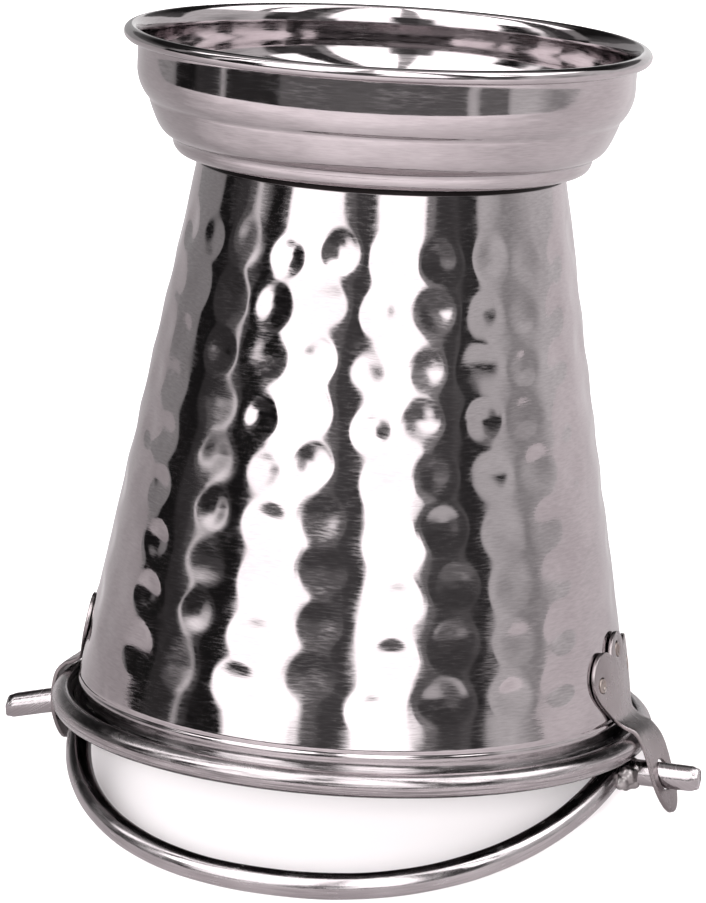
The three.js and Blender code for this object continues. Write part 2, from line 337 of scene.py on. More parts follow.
# ---------------------------------------------------------------- foot

def foot_profile():
    bead = (LIP_RADIUS - LIP_BEAD, LIP_HEIGHT - LIP_BEAD)
    floor = FOOT_BASE + FOOT_SHEET
    heel = softened(
        [
            (HEEL_INSIDE - 3, FOOT_BASE),
            (HEEL_INSIDE - 0.6, FOOT_BASE),
            (HEEL_INSIDE, FOOT_BASE - HEEL_DROP),
            (58.6, FOOT_BASE - HEEL_DROP),
            (60.2, FOOT_BASE - 0.8),
            (61.6, FOOT_BASE + 1.2),
            (61.7, FOOT_BASE + 3.4),
        ],
        2,
    )
    shoulder = softened(
        [
            (62.4, FOOT_BASE + 3.6),
            (64.6, FOOT_BASE + 4.8),
            (66.6, FOOT_BASE + 7.6),
            (68.9, FOOT_BASE + 13.2),
            (69.1, FOOT_BASE + 14.4),
            (70.6, FOOT_BASE + 16),
            (72.1, FOOT_BASE + 18.7),
            (72.9, FOOT_BASE + 21.7),
            (73, FOOT_BASE + 24),
            (73, bead[1] - 0.9),
        ],
        3,
    )
    roll = arc(*bead, LIP_BEAD, math.radians(-165), math.radians(255), 30)
    inside = softened(
        [
            (bead[0] - 1.2, LIP_HEIGHT - 0.25),
            (73.2, LIP_HEIGHT - 1.1),
            (72.3, LIP_HEIGHT - 3.4),
            (72.1, FOOT_BASE + 28),
            (71.9, FOOT_BASE + 22.2),
            (70.9, FOOT_BASE + 18.8),
            (68.4, FOOT_BASE + 15.2),
            (67.8, FOOT_BASE + 13.4),
            (65.5, FOOT_BASE + 8.2),
            (63.6, FOOT_BASE + 5.5),
            (60.6, FOOT_BASE + 3.4),
            (58, floor),
            (54, floor),
        ],
        3,
    )
    return [
        *line((0, FOOT_BASE), (HEEL_INSIDE - 4, FOOT_BASE), 9),
        *heel,
        *shoulder,
        *roll,
        *inside,
        *line((53, floor), (0, floor), 4),
    ]


def spun(angles, radius, height):
    """Rings and slow waves that a spinning tool leaves inside the bowl."""
    start, full = (FOOT_BASE + rise for rise in SPUN_FROM)
    inner = smoothstep(height, start, full) * (radius < SPUN_RADIUS)
    fading, end = (LIP_HEIGHT - drop for drop in SPUN_TO)
    inner = inner * (1 - smoothstep(height, fading, end))
    rings = SPUN_RING * np.sin(height * 1.9)
    waves = SPUN_WAVE * np.sin(9 * angles + height / 5) * np.sin(height / 3)
    wobble = np.sin(height / 1.7 + 3 * np.sin(5 * angles))
    ripples = SPUN_RIPPLE * np.sin(47 * angles + height) * wobble
    return radius + inner * (rings + waves + ripples), height


# ---------------------------------------------------------------- spot welds

def spot_weld(name, seed, thickness):
    """A squeezed nugget: a dished button with a raised, uneven collar."""
    draw = random.Random(seed)
    phases = [draw.uniform(0, 2 * math.pi) for _ in range(3)]
    half = thickness / 2
    profile = [
        (0, -half),
        *line((0.4, -half), (SPOT_RADIUS - 0.2, -half), 0.5),
        (SPOT_RADIUS, -half + 0.2),
        (SPOT_RADIUS, half - 0.25),
        *softened(
            [
                (SPOT_RADIUS - 0.1, half - 0.05),
                (SPOT_RADIUS - 0.5, half + 0.12),
                (SPOT_RADIUS - 0.9, half),
                (SPOT_RADIUS - 1.3, half - 0.32),
                (0.3, half - 0.42),
            ],
            2,
        ),
        (0, half - 0.42),
    ]

    def uneven(angles, radius, height):
        lumps = sum(np.sin((2 + i) * angles + p) for i, p in enumerate(phases)) / 3
        on_top = smoothstep(height, half - 0.3, half)
        return radius * (1 + 0.05 * on_top * lumps), height + 0.07 * on_top * lumps

    return turned(name, profile, 48, uneven)


# ---------------------------------------------------------------- ears

def bezier(a, b, c, d, steps):
    t = np.linspace(0, 1, steps + 1)[1:, None]
    a, b, c, d = map(np.array, (a, b, c, d))
    return (1 - t) ** 3 * a + 3 * (1 - t) ** 2 * t * b + 3 * (1 - t) * t**2 * c + t**3 * d


def ear_half():
    """The right half of the ear's outline, from the top of the tab to the tip of the tongue."""
    middle = np.array((SIDE_LOBE_ACROSS / 2, (SIDE_LOBE_HEIGHT + EAR_TAB_HEIGHT) / 2))
    apart = np.array((SIDE_LOBE_ACROSS, SIDE_LOBE_HEIGHT - EAR_TAB_HEIGHT))
    rise = math.sqrt(EAR_LOBE**2 - apart @ apart / 4)
    notch = middle + rise * np.array((-apart[1], apart[0])) / np.linalg.norm(apart)
    tab_end = math.atan2(notch[1] - EAR_TAB_HEIGHT, notch[0])
    lobe_start = math.atan2(notch[1] - SIDE_LOBE_HEIGHT, notch[0] - SIDE_LOBE_ACROSS)
    lobe_end = math.radians(-35)
    quarter = math.pi / 2
    tab = arc(0, EAR_TAB_HEIGHT, EAR_LOBE, quarter, tab_end - quarter, 14)
    turn = lobe_end - lobe_start
    lobe = arc(SIDE_LOBE_ACROSS, SIDE_LOBE_HEIGHT, EAR_LOBE, lobe_start, turn, 22)[1:]
    waist = bezier(lobe[-1], (16.1, 11.5), (EAR_HALF_WIDTH, 8), (EAR_HALF_WIDTH, 2), 14)
    side = line((EAR_HALF_WIDTH, 2), (EAR_HALF_WIDTH, PIVOT_HEIGHT), 1)[1:]
    tip = bezier(side[-1], (EAR_HALF_WIDTH, -14), (4.6, EAR_TIP), (0, EAR_TIP), 16)
    return np.vstack([tab, lobe, waist, side, tip])


def ear_loops():
    """The outline and the holes, as closed loops of (across, height) points."""
    half = ear_half()
    mirrored = half[-2:0:-1] * (-1, 1)
    outline = np.vstack([half, mirrored])[::-1]
    holes = [arc(0, PIVOT_HEIGHT, PIN_HOLE, 0, 2 * math.pi, 40)[:-1]]
    holes += [arc(*spot, SPOT_RADIUS + 0.12, 0, 2 * math.pi, 24)[:-1] for spot in EAR_SPOTS]
    return [outline] + [np.array(hole)[::-1] for hole in holes]


def inset(loop, distance):
    """Moves a loop's points into the material, which lies on its left."""
    ahead = np.roll(loop, -1, 0) - np.roll(loop, 1, 0)
    ahead /= np.linalg.norm(ahead, axis=1)[:, None]
    return loop + distance * np.stack([-ahead[:, 1], ahead[:, 0]], 1)


def inside(points, loop):
    """Whether each point lies inside a loop."""
    x, y = points[:, :1], points[:, 1:]
    a, b = loop, np.roll(loop, -1, 0)
    rise = b[:, 1] - a[:, 1]
    rise[rise == 0] = 1e-9
    crossing = a[:, 0] + (y - a[:, 1]) * (b[:, 0] - a[:, 0]) / rise
    straddles = (a[:, 1] > y) != (b[:, 1] > y)
    return ((straddles & (x < crossing)).sum(1) % 2).astype(bool)


def filled(loops):
    """Triangles that fill an outline with holes, on a fine grid so that the sheet can bend."""
    points = np.vstack(loops)
    edges = []
    start = 0
    for loop in loops:
        count = len(loop)
        edges += [(start + i, start + (i + 1) % count) for i in range(count)]
        start += count
    low, high = points.min(0), points.max(0)
    spread = [np.arange(low[i] + 0.4, high[i], EAR_GRID) for i in (0, 1)]
    grid = np.stack(np.meshgrid(*spread), -1).reshape(-1, 2)
    rim = np.linalg.norm(grid[:, None] - points[None], axis=2).min(1)
    grid = grid[rim > EAR_GRID_MARGIN]
    grid = grid[inside(grid, loops[0])]
    for hole in loops[1:]:
        grid = grid[~inside(grid, hole)]
    everything = [Vector(p) for p in np.vstack([points, grid])]
    made = delaunay_2d_cdt(everything, edges, [], 0, 1e-5)
    flat = np.array([tuple(p) for p in made[0]])
    triangles = np.array([tuple(f) for f in made[2]])
    middles = flat[triangles].mean(1)
    kept = inside(middles, loops[0])
    for hole in loops[1:]:
        kept &= ~inside(middles, hole)
    assert len(flat) == len(everything), "the ear's points were merged"
    return flat, triangles[kept]


def ear_plate():
    """The flat ear as (across, height, level) points and faces, edges rounded on both sides."""
    loops = ear_loops()
    inner_loops = [inset(loop, EAR_EDGE) for loop in loops]
    flat, triangles = filled(inner_loops)
    count = len(flat)
    layers = [np.column_stack([flat, np.full(count, level)]) for level in (0, EAR_SHEET)]
    faces = [tuple(t) for t in triangles[:, ::-1]] + [tuple(t + count) for t in triangles]
    spots = layers
    total = 2 * count
    offset = 0
    for loop in loops:
        size = len(loop)
        soft = inset(loop, EAR_EDGE * EAR_SOFT)
        walls = [
            (soft, EAR_EDGE * EAR_SOFT),
            (loop, EAR_EDGE),
            (loop, EAR_SHEET - EAR_EDGE),
            (soft, EAR_SHEET - EAR_EDGE * EAR_SOFT),
        ]
        rings = [np.arange(size) + offset]
        for points, level in walls:
            spots.append(np.column_stack([points, np.full(size, level)]))
            rings.append(np.arange(size) + total)
            total += size
        rings.append(np.arange(size) + offset + count)
        for low, high in zip(rings, rings[1:]):
            quads = np.stack([low, np.roll(low, -1), np.roll(high, -1), high], 1)
            faces += [tuple(q) for q in quads]
        offset += size
    return np.vstack(spots), [tuple(int(i) for i in f) for f in faces]


def tongue_path(tongue):
    """A smooth line through the ear's points: its inner face's radius and slope at any height."""
    on_cone = [(cone_radius(h) + EAR_PROUD, h) for h in (36, 22, 10)]
    points = np.array([*on_cone, (84.8, 6.2), *tongue])
    padded = np.vstack([2 * points[0] - points[1], points, 2 * points[-1] - points[-2]])
    walk = []
    for a, b, c, d in zip(padded, padded[1:], padded[2:], padded[3:]):
        t = np.linspace(0, 1, 24, endpoint=False)[:, None]
        walk.append(
            0.5 * (2 * b + (c - a) * t + (2 * a - 5 * b + 4 * c - d) * t**2
                   + (3 * b - a - 3 * c + d) * t**3)
        )
    walk = np.vstack([*walk, points[-1:]])[::-1]
    slopes = np.gradient(walk[:, 0], walk[:, 1])

    def at(height):
        radius = np.interp(height, walk[:, 1], walk[:, 0])
        slope = np.interp(height, walk[:, 1], slopes)
        return radius, slope

    return at


def bent(spots, tongue, twist):
    """Bends flat (across, height, level) points to the pail and out over its rim."""
    across, height, level = np.asarray(spots, float).T
    radius, slope = tongue_path(tongue)(height)
    steep = np.sqrt(1 + slope**2)
    x, z = radius + level / steep, height - level * slope / steep
    on_cone = smoothstep(height, 0, 8)
    curve = cone_radius(np.maximum(height, CREASE_HEIGHT))
    hollow = curve - np.sqrt(curve**2 - across**2)
    x = x - on_cone * hollow + (1 - on_cone) * across * math.tan(twist)
    return np.stack([x, across, z], 1)


def dimpled(spots):
    """Presses the sheet in a little round each spot weld."""
    spots = spots.copy()
    for spot in EAR_SPOTS:
        away = np.linalg.norm(spots[:, :2] - spot, axis=1)
        pressed = SPOT_PRESSED * np.exp(-(((away - SPOT_RADIUS) / SPOT_PRESSED_WIDTH) ** 2))
        spots[:, 2] -= pressed * (spots[:, 2] > EAR_SHEET / 2)
    return spots


def ear(side, half_turn, tongue, twist):
    """One ear and its three spot welds. half_turn is 1 for the ear on the far side of Z."""
    plate, faces = ear_plate()
    turn = np.array([-1, -1, 1]) if half_turn else np.ones(3)
    shaped = bent(dimpled(plate), tongue, twist) * turn
    mesh = mesh_of("ear_plate_" + side, shaped, faces, 50)
    piece(mesh, "pail", "stamped_steel", STAMPED, PAIL_PLACE, "ear_" + side)
    for number, (across, height) in enumerate(EAR_SPOTS, 1):
        seed = 40 + number + 7 * half_turn
        mesh = spot_weld(f"ear_spot_{side}_{number}", seed, EAR_SHEET)
        angle = math.asin(across / cone_radius(height)) + math.pi * half_turn
        middle = cone_radius(height) + EAR_PROUD + EAR_SHEET / 2 - 0.1
        tilt = math.atan2(CREASE_RADIUS - NECK_RADIUS, NECK_HEIGHT - CREASE_HEIGHT)
        place = (
            PAIL_PLACE
            @ Matrix.Rotation(angle, 4, "Z")
            @ Matrix.Translation((middle * MM, 0, height * MM))
            @ Matrix.Rotation(math.pi / 2 - tilt, 4, "Y")
        )
        node = f"ear_weld_{side}_{number}"
        piece(mesh, "pail", "spot_weld", SPOT, place, node)


# ---------------------------------------------------------------- bail

def bail_point(t):
    """A point and the direction of the rod's middle line, in the plane of the bail."""
    flat = 2 / BAIL_SQUARENESS
    start = math.asin(((BAIL_SETBACK - BAIL_OVERRUN) / BAIL_LENGTH) ** (1 / flat))

    def at(share):
        angle = start + (math.pi - 2 * start) * share
        across = math.copysign(abs(math.cos(angle)) ** flat, math.cos(angle))
        forward = math.sin(angle) ** flat
        return np.array((BAIL_HALF_WIDTH * across, BAIL_SETBACK - BAIL_LENGTH * forward))

    ahead = at(t + 1e-4) - at(t - 1e-4)
    return at(t), ahead / np.linalg.norm(ahead)


def bail_rod():
    """The bent rod, with slightly uneven sides and rounded ends."""
    sides = BAIL_SIDES
    angles = np.linspace(0, 2 * math.pi, sides, endpoint=False)
    ends = [(0, 0.6), (0, 0.86), (0.0012, 1)]
    stations = ends + [(t, 1) for t in np.linspace(0.004, 0.996, BAIL_STEPS)]
    stations += [(1 - t, size) for t, size in ends[::-1]]
    spots = []
    for t, size in stations:
        (x, y), (ahead_x, ahead_y) = bail_point(t)
        flats = 1 + 0.008 * math.sin(31 * t) + 0.006 * math.sin(73 * t + 1)
        reach = ROD_RADIUS * size * flats
        for angle in angles:
            out, up = reach * math.cos(angle), reach * math.sin(angle)
            spots.append((x + ahead_y * out, y - ahead_x * out, up))
    rows = len(stations)
    faces = []
    for row in range(rows - 1):
        for i in range(sides):
            j = (i + 1) % sides
            low, high = row * sides, (row + 1) * sides
            faces.append((low + i, low + j, high + j, high + i))
    faces.append(tuple(range(sides))[::-1])
    faces.append(tuple(range((rows - 1) * sides, rows * sides)))
    return mesh_of("bail_hoop", spots, faces, 40)


def pin(name, end, bent_down):
    """A straight pin that points right, or one that points left and is bent down. Its end is sawn
    off a little aslant and ground to six sides."""
    profile = [
        (0, PIN_START),
        *line((0.8, PIN_START), (ROD_RADIUS - 0.3, PIN_START), 0.8),
        (ROD_RADIUS, PIN_START + 0.4),
        *line((ROD_RADIUS, PIN_START + 0.8), (ROD_RADIUS, end - PIN_CHAMFER - 0.3), 0.5),
        *softened(
            [
                (ROD_RADIUS, end - PIN_CHAMFER - 0.2),
                (ROD_RADIUS, end - PIN_CHAMFER),
                (ROD_RADIUS - PIN_CHAMFER, end),
                (ROD_RADIUS - PIN_CHAMFER - 0.3, end),
            ],
            2,
        ),
        *line((ROD_RADIUS - PIN_CHAMFER - 0.5, end), (0, end), 0.6),
    ]
    mesh = turned(name, profile, 48)
    spots = np.zeros(len(mesh.vertices) * 3)
    mesh.vertices.foreach_get("co", spots)
    x, y, z = spots.reshape(-1, 3).T / MM
    past = np.maximum(0, z - PIN_BEND_START)
    eased = past**2 / (past + PIN_BEND_EASE)
    drop = eased * math.tan(PIN_BEND) if bent_down else 0
    sawn = np.where(z > end - 0.05, PIN_SAWN * y, 0)
    turn = np.arctan2(y, x)
    flat = math.cos(math.pi / 6) / np.cos(turn % (math.pi / 3) - math.pi / 6)
    ground = 1 + (flat - 1) * smoothstep(z, end - 3 * PIN_CHAMFER, end - PIN_CHAMFER)
    x, y = x * ground, y * ground
    laid = np.stack([z - np.abs(sawn), y, -x - drop], 1)
    if bent_down:
        laid[:, 0] *= -1
        mesh.flip_normals()
    mesh.vertices.foreach_set("co", (laid * MM).ravel())
    mesh.update()
    return mesh


def weld_bead(name, side, seed):
    """Overlapping blobs of weld metal in the corner of rod and pin, run together."""
    draw = random.Random(seed)
    blobs = [
        (PIN_START + 1.0, -3.4, 0.6, 2.9),
        (PIN_START + 2.6, -1.6, 1.8, 2.3),
        (PIN_START - 0.6, -5.2, -0.8, 2.7),
        (PIN_START + 2.2, -2.2, -2.0, 2.2),
        (PIN_START + 0.2, -3.0, -2.6, 2.0),
        (PIN_START - 0.2, -4.0, 2.2, 2.1),
        (PIN_START + 3.8, -1.2, -0.6, 2.6),
        (PIN_START + 1.6, 1.0, 2.4, 1.7),
    ]
    blobs = [[v + draw.uniform(-0.25, 0.25) for v in b[:3]] + [b[3]] for b in blobs]
    spots, faces = [], []
    ring, rows = 20, 12
    for x, y, z, size in blobs:
        start = len(spots)
        for row in range(1, rows):
            tilt = math.pi * row / rows
            for i in range(ring):
                turn = 2 * math.pi * i / ring
                wide = math.sin(tilt)
                out = Vector((wide * math.cos(turn), wide * math.sin(turn), math.cos(tilt)))
                rough = 1 + 0.16 * noise.noise(out * 2.3 + Vector((x, y, z + seed)))
                spots.append(Vector((x, y, z)) + out * size * rough)
        spots += [Vector((x, y, z + size)), Vector((x, y, z - size))]
        top, bottom = len(spots) - 2, len(spots) - 1
        for row in range(rows - 2):
            for i in range(ring):
                j = (i + 1) % ring
                low, high = start + row * ring, start + (row + 1) * ring
                faces.append((low + i, high + i, high + j, low + j))
        last = start + (rows - 2) * ring
        faces += [(top, start + i, start + (i + 1) % ring) for i in range(ring)]
        faces += [(bottom, last + (i + 1) % ring, last + i) for i in range(ring)]
    lumps = mesh_of(name + "_lumps", [(side * x, y, z) for x, y, z in spots], faces)
    holder = bpy.data.objects.new(name + "_lumps", lumps)
    bpy.context.scene.collection.objects.link(holder)
    fused = holder.modifiers.new("fused", "REMESH")
    fused.mode = "VOXEL"
    fused.voxel_size = BEAD_VOXEL * MM
    eased = holder.modifiers.new("eased", "SMOOTH")
    eased.iterations = 3
    graph = bpy.context.evaluated_depsgraph_get()
    made = bpy.data.meshes.new_from_object(holder.evaluated_get(graph))
    bpy.data.objects.remove(holder)
    made.name = name
    made.shade_smooth()
    return made


# ---------------------------------------------------------------- materials

CLOUD_SCALE = 38
WEAR_SCALE = 120
ZONE_EDGE = 0.15  # how softly brushed zones and zones of painted crevice shade end, in millimetres
BRUSH_LINES = (4, 0.00045)
BRUSH_BUMP = 0.00001
BRUSH_SHADE = 0.3
# Painted shade: the colour that darkens crevices where shade falls, and the extra roughness given
# to those crevices
PAINTED_CREVICE_SHADE = (0.05, 0.045, 0.045)
CREVICE_ROUGH = 0.4


class Nodes:
    """A short way to write the nodes of a material or of the world."""

    def __init__(self, owner):
        owner.use_nodes = True
        self.tree = owner.node_tree

    def find(self, kind):
        return next(n for n in self.tree.nodes if n.type == kind)

    def add(self, kind, **settings):
        made = self.tree.nodes.new("ShaderNode" + kind)
        for key, value in settings.items():
            setattr(made, key, value)
        return made

    def link(self, source, target):
        self.tree.links.new(source, target)

    def math(self, operation, first, second=None):
        made = self.add("Math", operation=operation)
        for socket, value in zip(made.inputs, (first, second)):
            if value is None:
                continue
            if isinstance(value, (int, float)):
                socket.default_value = value
            else:
                self.link(value, socket)
        return made.outputs[0]

    def noise(self, vector, scale, detail=2.0, distortion=0.0):
        made = self.add("TexNoise")
        made.inputs["Scale"].default_value = scale
        made.inputs["Detail"].default_value = detail
        made.inputs["Distortion"].default_value = distortion
        self.link(vector, made.inputs["Vector"])
        return made.outputs["Fac"]

    def spread(self, value, low, high, start=0.3, end=0.7):
        """Stretches start to end, such as the middle of a noise, over low to high."""
        made = self.add("MapRange")
        made.inputs["From Min"].default_value = start
        made.inputs["From Max"].default_value = end
        made.inputs["To Min"].default_value = low
        made.inputs["To Max"].default_value = high
        self.link(value, made.inputs["Value"])
        return made.outputs["Result"]

    def tint(self, factor, first, second, blend="MIX"):
        """Goes from the first colour to the second as the factor, a socket, goes from 0 to 1."""
        made = self.add("Mix", data_type="RGBA", blend_type=blend)
        for socket, value in zip([i for i in made.inputs if i.type == "RGBA"], (first, second)):
            if isinstance(value, tuple):
                socket.default_value = (*value, 1)
            else:
                self.link(value, socket)
        self.link(factor, made.inputs["Factor"])
        return next(o for o in made.outputs if o.type == "RGBA")

    def bump(self, height, strength, distance, normal=None):
        made = self.add("Bump")
        made.inputs["Strength"].default_value = strength
        made.inputs["Distance"].default_value = distance
        self.link(height, made.inputs["Height"])
        if normal:
            self.link(normal, made.inputs["Normal"])
        return made.outputs["Normal"]


def from_axis(nodes, place):
    """X, Y, Z and the distance from Z."""
    split = nodes.add("SeparateXYZ")
    nodes.link(place, split.inputs[0])
    x, y, z = split.outputs
    squared = nodes.math("ADD", nodes.math("MULTIPLY", x, x), nodes.math("MULTIPLY", y, y))
    return x, y, z, nodes.math("SQRT", squared)


def round_axis(nodes, place, turns, pitch):
    """Coordinates that stretch a texture into lines round Z, each about pitch metres wide."""
    x, y, z, distance = from_axis(nodes, place)
    radius = nodes.math("ADD", distance, 1e-5)
    joined = nodes.add("CombineXYZ")
    nodes.link(nodes.math("MULTIPLY", nodes.math("DIVIDE", x, radius), turns), joined.inputs[0])
    nodes.link(nodes.math("MULTIPLY", nodes.math("DIVIDE", y, radius), turns), joined.inputs[1])
    outward = nodes.math("ADD", nodes.math("MULTIPLY", radius, 0.7), z)
    nodes.link(nodes.math("DIVIDE", outward, pitch), joined.inputs[2])
    return joined.outputs[0]


def upright(nodes, place):
    """Texture coordinates in the frame that a piece was modelled in, in metres."""
    back = place.inverted()
    mapping = nodes.add("Mapping")
    mapping.inputs["Location"].default_value = back.to_translation()
    mapping.inputs["Rotation"].default_value = back.to_euler()
    nodes.link(nodes.add("TexCoord").outputs["Object"], mapping.inputs["Vector"])
    return mapping.outputs[0]


def band(nodes, value, low, high, soft):
    """1 between low and high, and 0 outside, with soft edges."""
    rising = nodes.spread(value, 0, 1, low - soft, low + soft)
    falling = nodes.spread(value, 1, 0, high - soft, high + soft)
    return nodes.math("MULTIPLY", rising, falling)


def ring_zone(nodes, place, inner, outer, low, high):
    """1 where the distance from Z and the height lie in these ranges, in millimetres."""
    _, _, z, distance = from_axis(nodes, place)
    soft = ZONE_EDGE * MM
    across = band(nodes, distance, inner * MM, outer * MM, soft)
    return nodes.math("MULTIPLY", across, band(nodes, z, low * MM, high * MM, soft))


def steel(
    name, light, dark, rough, place, lines=None, grain=None, pits=None, brushed=None, shaded_crevices=()
):
    """Bare stainless steel. lines is (turns, pitch, bump distance) for marks round the axis,
    grain is (scale, bump distance) for an even fine texture, and pits is the same for coarse.
    brushed and each crevice zone are (low radius, high radius, low height, high height): where
    the steel is streaked by a brush, and crevices made rougher, whose colour is darkened with
    painted shade."""
    material = bpy.data.materials.new(name)
    nodes = Nodes(material)
    shader = nodes.find("BSDF_PRINCIPLED")
    place = upright(nodes, place)
    shader.inputs["Metallic"].default_value = 1
    cloud = nodes.noise(place, CLOUD_SCALE, 3)
    wear = nodes.spread(nodes.noise(place, WEAR_SCALE, 4, 0.4), *rough)
    normal = None
    if lines:
        turns, pitch, distance = lines
        along = nodes.noise(round_axis(nodes, place, turns, pitch), 1, 3)
        cloud = nodes.math("MULTIPLY", nodes.math("ADD", cloud, along), 0.5)
        normal = nodes.bump(along, 1, distance, normal)
        wear = nodes.math("ADD", wear, nodes.spread(along, -0.02, 0.07, 0.35, 0.65))
    colour = nodes.tint(nodes.spread(cloud, 0, 1, 0.36, 0.64), dark, light)
    if brushed:
        where = ring_zone(nodes, place, *brushed)
        streaks = nodes.noise(round_axis(nodes, place, *BRUSH_LINES), 1, 3)
        normal = nodes.bump(nodes.math("MULTIPLY", where, streaks), 1, BRUSH_BUMP, normal)
        rougher = nodes.math("MULTIPLY", where, nodes.spread(streaks, 0.04, 0.2))
        wear = nodes.math("ADD", wear, rougher)
        dull = nodes.math("MULTIPLY", where, nodes.spread(streaks, 0.75, 0, 0.36, 0.58))
        colour = nodes.tint(dull, colour, tuple(BRUSH_SHADE * c for c in dark))
    # Painted shade: the colour is darkened, and the steel made rougher, in the crevice zones where
    # shade falls
    if shaded_crevices:
        crevice_shade = 0.0
        for zone in shaded_crevices:
            crevice_shade = nodes.math("MAXIMUM", crevice_shade, ring_zone(nodes, place, *zone))
        colour = nodes.tint(crevice_shade, colour, PAINTED_CREVICE_SHADE, "MULTIPLY")
        wear = nodes.math("ADD", wear, nodes.math("MULTIPLY", crevice_shade, CREVICE_ROUGH))
    nodes.link(colour, shader.inputs["Base Color"])
    nodes.link(wear, shader.inputs["Roughness"])
    if grain:
        normal = nodes.bump(nodes.noise(place, grain[0], 2), 1, grain[1], normal)
    if pits:
        normal = nodes.bump(nodes.noise(place, pits[0], 4, 0.6), 1, pits[1], normal)
    if normal:
        nodes.link(normal, shader.inputs["Normal"])
    return material


# The crevice zones get painted shade: the neck's corner under the foot's heel, the wall where it
# meets its rolled rim, and the heel's underside
HAMMERED = steel(
    "hammered_steel", (0.43, 0.392, 0.402), (0.33, 0.296, 0.306), (0.03, 0.09), PAIL_PLACE,
    lines=(22, 0.00045, 0.000006), brushed=(82.3, 91, -4, 7.4),
    shaded_crevices=[(50, 60, 163.9, 168), (83.2, 85.6, -4, 3.6)],
)
BOWL = steel(
    "polished_steel", (0.44, 0.402, 0.412), (0.345, 0.31, 0.32), (0.03, 0.08), PAIL_PLACE,
    lines=(16, 0.0005, 0.000002), shaded_crevices=[(50, 59.2, 165.5, 166.6)],
)
STAMPED = steel(
    "stamped_steel", (0.30, 0.265, 0.27), (0.20, 0.175, 0.18), (0.2, 0.34), PAIL_PLACE,
    grain=(1500, 0.000016), pits=(260, 0.00006),
)
ROD = steel(
    "rod_steel", (0.45, 0.415, 0.425), (0.30, 0.27, 0.28), (0.12, 0.24), BAIL_PLACE,
    lines=(7, 0.0005, 0.00003), grain=(900, 0.000012),
)
WIRE = steel(
    "wire_steel", (0.25, 0.23, 0.23), (0.12, 0.11, 0.11), (0.3, 0.45), PAIL_PLACE,
    grain=(900, 0.00001),
)
SPOT = steel(
    "spot_weld_steel", (0.34, 0.29, 0.27), (0.16, 0.12, 0.11), (0.25, 0.5), PAIL_PLACE,
    pits=(700, 0.00006),
)
WELD = steel(
    "weld_metal", (0.40, 0.37, 0.37), (0.07, 0.06, 0.06), (0.14, 0.4), BAIL_PLACE,
    pits=(520, 0.00022),
)


# ---------------------------------------------------------------- pieces

pail = turned("hammered_pail", pail_wall(), FACETS, hammered)
piece(pail, "pail", "hammered_steel", HAMMERED, PAIL_PLACE, "pail_body")

foot = turned("spun_foot", foot_profile(), FOOT_FACETS, spun)
piece(foot, "pail", "polished_steel", BOWL, PAIL_PLACE, "foot_bowl")

for number in range(1, 5):
    angle = (number - 0.5) * math.pi / 2
    middle = Vector((math.cos(angle), math.sin(angle), 0)) * FOOT_WELD_CIRCLE
    middle.z = FOOT_BASE + FOOT_SHEET - FOOT_WELD_SHEETS / 2
    spot_place = PAIL_PLACE @ Matrix.Translation(middle * MM)
    nugget = spot_weld(f"foot_spot_{number}", number, FOOT_WELD_SHEETS)
    piece(nugget, "pail", "spot_weld", SPOT, spot_place, f"foot_weld_{number}")

ear("right", 0, TONGUE_OUT, TONGUE_TWIST)
ear("left", 1, TONGUE_IN, 0)

piece(bail_rod(), "bail", "rod_steel", ROD, BAIL_PLACE, "bail_rod")
right_pin = pin("pin_right", PIN_END_RIGHT, False)
piece(right_pin, "bail", "rod_steel", ROD, BAIL_PLACE, "pivot_pin_right")
left_pin = pin("pin_left", PIN_END_LEFT, True)
piece(left_pin, "bail", "rod_steel", ROD, BAIL_PLACE, "pivot_pin_left")
right_bead = weld_bead("weld_bead_right", 1, 5)
piece(right_bead, "bail", "weld_steel", WELD, BAIL_PLACE, "bail_weld_right")
left_bead = weld_bead("weld_bead_left", -1, 9)
piece(left_bead, "bail", "weld_steel", WELD, BAIL_PLACE, "bail_weld_left")

wire = frame["nodes"]["rim_wire"]
wire.data.materials.clear()
wire.data.materials.append(WIRE)


# ---------------------------------------------------------------- floor, light, camera

FLOOR_RADIUS = 30
FLOOR_HEIGHT = -0.0006
FLOOR_GREYS = (0.90, 0.92, 0.93)  # on the left, on the right and in front
MIRRORED_RADIUS = 1.1
MIRRORED_HEIGHT = -0.0003
MIRRORED_GREYS = (0.23, 0.38, 0.62)
FLOOR_WARMTH = (1, 0.95, 0.965)
FLOOR_MOTTLE = 0.5
FLOOR_ACROSS = (-0.25, 0.25)
FLOOR_AHEAD = (-0.42, 0.02)

# Soft neutral panels all round the pail as (from, to, grey), in degrees round from the front of the
# set, left negative. They stand in four layers, from the floor up to the canopy overhead.
PALE_LEFT = 0.44
PALE_RIGHT = 0.97
WHITE = 3.2
BLACK = 0.019
CANOPY = 4.12
HIGH = [
    (-180, -101, PALE_LEFT),
    (-101, -89, 0.08),
    (-89, -83, 0.27),
    (-83, -76, 2.11),
    (-76, -72, 0.46),
    (-72, -62, BLACK),
    (-62, -58, 0.17),
    (-58, -23, WHITE),
    (-23, -15, 0.24),
    (-15, -1, 0.11),
    (-1, 30, WHITE),
    (30, 36, 0.47),
    (36, 60, 0.099),
    (60, 64, 0.32),
    (64, 180, PALE_RIGHT),
]
WALL = [
    (-180, -102, PALE_LEFT),
    (-102, -89, 0.08),
    (-89, -83, 0.19),
    (-83, -79, 1.34),
    (-79, -74, 0.12),
    (-74, -56, BLACK),
    (-56, -28, WHITE),
    (-28, -4, 0.11),
    (-4, 25, WHITE),
    (25, 36, 0.23),
    (36, 45, 0.12),
    (45, 50, 0.17),
    (50, 63, 0.054),
    (63, 68, PALE_RIGHT),
    (79, 83, 0.72),
    (98, 180, PALE_RIGHT),
]
